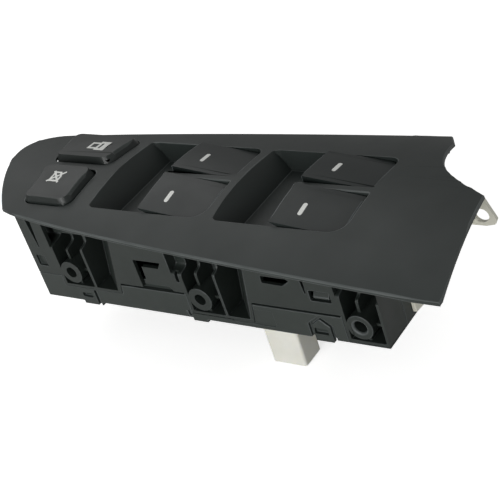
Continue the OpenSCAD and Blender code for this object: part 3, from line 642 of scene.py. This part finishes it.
    def smooth(self, mesh: bpy.types.Mesh) -> None:
        """Gives flat faces flat normals, crowned faces their crown's, and edges a blend.

        Args:
            mesh: The rounded copy.
        """
        work = bmesh.new()
        work.from_mesh(mesh)
        work.normal_update()
        chosen: dict[tuple[int, int], Vector] = {}
        for corner in work.verts:
            plain = [face for face in corner.link_faces if face.material_index != ADDED]
            groups = self.groups(corner, plain)
            normals = [self.group_normal(corner, group) for group in groups]
            for group, normal in zip(groups, normals):
                for face in group:
                    chosen[face.index, corner.index] = normal
            added = [face for face in corner.link_faces if face.material_index == ADDED]
            blend = sum((face.normal * face.calc_area() for face in added), Vector())
            for face in added:
                chosen[face.index, corner.index] = max(
                    normals, key=face.normal.dot, default=blend.normalized()
                )
        rounded = work.faces.layers.float.new(ROUNDED)
        for face in work.faces:
            face[rounded] = float(face.material_index)
            face.smooth = True
            face.material_index = 0
        loops = [
            chosen[face.index, loop.vert.index] for face in work.faces for loop in face.loops
        ]
        work.to_mesh(mesh)
        work.free()
        mesh.materials.pop()
        mesh.normals_split_custom_set(loops)

    def groups(
        self, corner: bmesh.types.BMVert, faces: list[bmesh.types.BMFace]
    ) -> list[list[bmesh.types.BMFace]]:
        """Parts the faces round a corner into smooth groups.

        Args:
            corner: The corner.
            faces: The faces round it that aren't part of a rounded edge.

        Returns:
            The groups.
        """
        groups: list[list[bmesh.types.BMFace]] = []
        left = list(faces)
        while left:
            group = [left.pop()]
            for face in group:
                for other in list(left):
                    shared = set(face.edges) & set(other.edges) & set(corner.link_edges)
                    if shared and face.normal.angle(other.normal, 0) < math.radians(self.sharp_deg):
                        group.append(other)
                        left.remove(other)
            groups.append(group)
        return groups

    def group_normal(
        self, corner: bmesh.types.BMVert, group: list[bmesh.types.BMFace]
    ) -> Vector:
        """Finds the normal that a smooth group has at a corner.

        Args:
            corner: The corner.
            group: The faces of the group.

        Returns:
            The crown's normal, or the mean of the faces by area.
        """
        largest = max(group, key=lambda face: face.calc_area())
        for crown in self.crowns:
            normal = crown.normal_at(corner.co, largest.normal)
            if normal:
                return normal
        return sum((face.normal * face.calc_area() for face in group), Vector()).normalized()


@dataclass
class Panel:
    """The crowned trim panel.

    Attributes:
        sheet_mm: Thickness of its sheet.
        edge_mm: Radius of its edges.
    """

    sheet_mm: float = 1.6
    edge_mm: float = 0.6

    def build(self) -> None:
        """Builds the panel."""
        centre = (0.0, CREST_Y_MM, CREST_Z_MM - CROWN_MM)
        crown = Crown(centre, 0.0, (CROWN_MM, CROWN_MM - self.sheet_mm))
        Shell(
            "trim_panel", "base", "panel_black", PANEL_ABS, self.edge_mm, 3, crowns=(crown,)
        ).build()


@dataclass
class Rockers:
    """The four window rockers with their white marks.

    Attributes:
        names: Their nodes and bodies.
        lip_mm: X of the lips of the first and the second pair.
        lip_z_mm: Height of the lips.
        crown_mm: Radius of their crown.
        slope_deg: How far their tops fall towards +X.
        edge_mm: Radius of their edges.
        mark_run_mm: From a lip to its mark.
        mark_y_mm: Y of the near and the far marks.
        pocket_mm: Half a mark's pocket along X and Y.
        pocket_z_mm: Heights that a mark's pocket lies between.
    """

    names: tuple[str, ...] = ("near_rocker_1", "far_rocker_1", "near_rocker_2", "far_rocker_2")
    lip_mm: tuple[float, float] = (61.6, 121.7)
    lip_z_mm: float = 47.0
    crown_mm: float = 102.0
    slope_deg: float = 7.1
    edge_mm: float = 0.6
    mark_run_mm: float = 9.68
    mark_y_mm: tuple[float, float] = (15.45, 41.15)
    pocket_mm: tuple[float, float] = (1.5, 4.0)
    pocket_z_mm: tuple[float, float] = (30.0, 60.0)

    def build(self) -> None:
        """Builds the rockers and dresses their marks."""
        for name in self.names:
            lip = self.lip_mm[int(name[-1]) - 1]
            centre = (lip, CREST_Y_MM, self.lip_z_mm - self.crown_mm)
            crown = Crown(centre, self.slope_deg, (self.crown_mm,))
            x, y = lip + self.mark_run_mm, self.mark_y_mm[name.startswith("far")]
            (half_x, half_y), (low, high) = self.pocket_mm, self.pocket_z_mm
            # The mark's pocket keeps crisp edges, so that the mark fills it
            pocket = Zone((x - half_x, y - half_y, low), (x + half_x, y + half_y, high), 0.0)
            Shell(
                name, name, "rocker_black", ROCKER_ABS, self.edge_mm, 3, (pocket,), (crown,)
            ).build()
            dress(name.replace("rocker", "mark"), MARK_PC)


@dataclass
class Buttons:
    """The two lock buttons with their signs and springs.

    Attributes:
        names: What their nodes' names start with.
        top_mm: Radius of their tops, which share the panel's axis.
        edge_mm: Radius of their edges.
        shoulder_mm: Radius of the edges round their tops.
        shoulder_box_mm: Corners of the box that holds those edges.
        travel_mm: How far a button goes down; not used.
    """

    names: tuple[str, ...] = ("window_lock", "door_lock")
    top_mm: float = 140.6
    edge_mm: float = 0.4
    shoulder_mm: float = 1.2
    shoulder_box_mm: tuple[tuple[float, float, float], ...] = ((-30, 0, 46.4), (40, 60, 60))
    travel_mm: float = 2.2

    def build(self) -> None:
        """Builds the caps and springs and dresses the signs."""
        crown = Crown((0.0, CREST_Y_MM, CREST_Z_MM - CROWN_MM), 0.0, (self.top_mm,))
        shoulder = Zone(*self.shoulder_box_mm, self.shoulder_mm)
        for name in self.names:
            cap = name + "_button"
            Shell(
                cap, cap, "button_black", BUTTON_ABS, self.edge_mm, 4, (shoulder,), (crown,)
            ).build()
            dress(name + "_symbol", MARK_PC)
            self.spring(name)

    def spring(self, name: str) -> None:
        """Copies a return spring, smooth shaded, onto the base body.

        Args:
            name: The button's name.
        """
        node = name + "_spring"
        work = bmesh.new()
        work.from_mesh(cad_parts[node].data)
        bmesh.ops.remove_doubles(work, verts=work.verts, dist=SAME_MM * MM)
        for face in work.faces:
            face.smooth = True
        mesh = bpy.data.meshes.new(node + "_coil")
        work.to_mesh(mesh)
        work.free()
        mesh.materials.clear()
        mesh.materials.append(SPRING_WIRE.material())
        coil = hang(node + "_coil", mesh)
        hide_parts(node)
        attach(coil, "base")
        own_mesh(coil)


@dataclass
class Housing:
    """The moulded housing and its bottom cover.

    Attributes:
        boss_x_mm: X of the bosses' axes.
        boss_z_mm: Z of the bosses' axes.
        bore_mm: Half the box round each bore's mouth.
        mouth_mm: Half that box's depth.
        flare_mm: Radius of the mouths.
        edge_mm: Radius of the other edges.
    """

    boss_x_mm: tuple[float, ...] = (19.0, 83.0, 152.6)
    boss_z_mm: tuple[float, ...] = (14.1, 9.7, 7.8)
    bore_mm: float = 2.7
    mouth_mm: float = 0.3
    flare_mm: float = 0.9
    edge_mm: float = 0.3

    def build(self) -> None:
        """Builds both shells, the housing with flared mouths in its bosses."""
        flares = tuple(
            Zone(
                (x - self.bore_mm, -self.mouth_mm, z - self.bore_mm),
                (x + self.bore_mm, self.mouth_mm, z + self.bore_mm),
                self.flare_mm,
            )
            for x, z in zip(self.boss_x_mm, self.boss_z_mm)
        )
        Shell(
            "switch_housing", "base", "housing_black", HOUSING_PBT, self.edge_mm, 2, flares
        ).build()
        Shell("bottom_cover", "base", "cover_black", COVER_PBT, self.edge_mm, 2).build()


@dataclass
class Fittings:
    """The connector shell and the side bracket.

    Attributes:
        pieces: Their shells.
    """

    pieces: tuple[Shell, ...] = (
        Shell("connector_shell", "base", "shell_white", NYLON, 0.35, 3),
        Shell("mounting_bracket", "base", "bracket_cream", BRACKET_PAINT, 0.3, 2),
    )

    def build(self) -> None:
        """Builds both fittings."""
        for shell in self.pieces:
            shell.build()


@dataclass
class Inside:
    """The nodes that keep their CAD mesh.

    Attributes:
        finishes: The finish of each node.
    """

    finishes: dict[str, Finish] = field(
        default_factory=lambda: {
            "circuit_board": BOARD_FR4,
            "connector_pins": BRASS_TIN,
            "near_slider_1": ACETAL,
            "far_slider_1": ACETAL,
            "near_slider_2": ACETAL,
            "far_slider_2": ACETAL,
            "slider_trays": TRAY_PBT,
            "tact_switches": SWITCH_LCP,
            "lamps": LAMP_EPOXY,
            "bracket_screws": ZINC,
            "panel_screws": ZINC,
        }
    )

    def build(self) -> None:
        """Dresses each node."""
        for node, finish in self.finishes.items():
            dress(node, finish)


def dress(node: str, finish: Finish) -> None:
    """Gives a CAD node that keeps its mesh a finish.

    Args:
        node: The CAD node.
        finish: Its material.
    """
    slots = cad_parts[node].data.materials
    slots.clear()
    slots.append(finish.material())
    LOG.info("%s: %s", node, finish.name)


@dataclass
class Studio:
    """Floor, lamps, world and camera.

    Attributes:
        eye: Where the camera is.
        right: The camera's right.
        up: The camera's up.
        lens_mm: Its focal length, on a sensor sensor_mm wide.
        sensor_mm: The sensor's width.
        near_clip: Where its view begins.
        floor_half: Half the floor's side.
        floor_drop: How far the floor lies under the connector.
        paper: The floor's colour, sRGB hex.
        floor_glow: What is added to the floor as the camera sees it.
        sky: The world's level.
        aim: What the lamps aim at.
        lamps: Name, place, side and watts of each lamp.
    """

    eye: Vector = field(default_factory=lambda: Vector((0.30288, -0.29057, 0.27357)))
    right: Vector = field(default_factory=lambda: Vector((0.8098, 0.5150, -0.2809)))
    up: Vector = field(default_factory=lambda: Vector((-0.0967, 0.5895, 0.8019)))
    lens_mm: float = 95.7
    sensor_mm: float = 36.0
    near_clip: float = 0.01
    floor_half: float = 4.0
    floor_drop: float = 0.0005
    paper: str = "#f7f7f6"
    floor_glow: float = 0.7
    sky: float = 0.28
    aim: Vector = field(default_factory=lambda: Vector((0.02, 0.02, 0.02)))
    lamps: tuple[tuple[str, tuple[float, float, float], float, float], ...] = (
        ("key", (-0.5, 0.3, 0.6), 0.6, 1.2),
        ("front", (0.1, -1.5, 0.25), 1.0, 19.0),
        ("side", (1.6, 0.3, 0.8), 0.8, 2.0),
    )

    def build(self) -> None:
        """Builds the whole studio."""
        self.floor()
        self.world()
        for name, at, size, power in self.lamps:
            self.lamp(name, Vector(at), size, power)
        self.camera()

    def floor(self) -> None:
        """Lays a pale floor under the connector."""
        low = CAD_BOX[0][2] - self.floor_drop
        work = bmesh.new()
        bmesh.ops.create_grid(work, x_segments=1, y_segments=1, size=self.floor_half)
        bmesh.ops.translate(work, verts=work.verts, vec=(0, 0, low))
        mesh = bpy.data.meshes.new("floor")
        work.to_mesh(mesh)
        work.free()
        ground = hang("floor", mesh)
        paper = bpy.data.materials.new("studio_paper")
        paper.use_nodes = True
        tree = paper.node_tree
        tree.nodes.clear()
        matt = add_node(tree, "ShaderNodeBsdfDiffuse", {"Color": linear(self.paper)})
        seen = add_node(tree, "ShaderNodeLightPath", {})
        lift = add_node(
            tree,
            "ShaderNodeMath",
            {0: seen.outputs["Is Camera Ray"], 1: self.floor_glow},
            operation="MULTIPLY",
        )
        glow = add_node(
            tree, "ShaderNodeEmission", {"Color": (1, 1, 1, 1), "Strength": lift.outputs[0]}
        )
        both = add_node(tree, "ShaderNodeAddShader", {0: matt.outputs[0], 1: glow.outputs[0]})
        add_node(tree, "ShaderNodeOutputMaterial", {"Surface": both.outputs[0]})
        mesh.materials.append(paper)

    def world(self) -> None:
        """Sets a pale world that is white behind the object."""
        world = bpy.data.worlds.new("studio")
        bpy.context.scene.world = world
        world.use_nodes = True
        tree = world.node_tree
        tree.nodes.clear()
        path = add_node(tree, "ShaderNodeLightPath", {})
        level = add_node(
            tree,
            "ShaderNodeMapRange",
            {"Value": path.outputs["Is Camera Ray"], "To Min": self.sky, "To Max": 1.0},
        )
        back = add_node(
            tree, "ShaderNodeBackground", {"Color": (1, 1, 1, 1), "Strength": level.outputs[0]}
        )
        add_node(tree, "ShaderNodeOutputWorld", {"Surface": back.outputs[0]})

    def lamp(self, name: str, at: Vector, size: float, power: float) -> None:
        """Hangs one square soft lamp, aimed at the switch.

        Args:
            name: The lamp's name.
            at: Where it hangs.
            size: Length of its side.
            power: Its power in watts.
        """
        light = bpy.data.lights.new(name, "AREA")
        light.size = size
        light.energy = power
        aim = (self.aim - at).to_track_quat("-Z", "Y")
        hang(name, light).matrix_world = Matrix.Translation(at) @ aim.to_matrix().to_4x4()

    def camera(self) -> None:
        """Sets the camera at the photograph's angle."""
        data = bpy.data.cameras.new("camera")
        data.lens = self.lens_mm
        data.sensor_width = self.sensor_mm
        data.clip_start = self.near_clip
        camera = hang("camera", data)
        across, rise = self.right.normalized(), self.up.normalized()
        turn = Matrix((across, rise, across.cross(rise))).transposed().to_4x4()
        camera.matrix_world = Matrix.Translation(self.eye) @ turn
        bpy.context.scene.camera = camera


def main() -> None:
    """Builds the studio and every sub-assembly in order."""
    logging.basicConfig(level=logging.INFO, format="%(message)s")
    bpy.context.scene.view_settings.view_transform = "Standard"
    for part in (Studio(), Panel(), Rockers(), Buttons(), Housing(), Fittings(), Inside()):
        LOG.info("building %s", type(part).__name__)
        part.build()


if __name__ == "__main__":
    main()
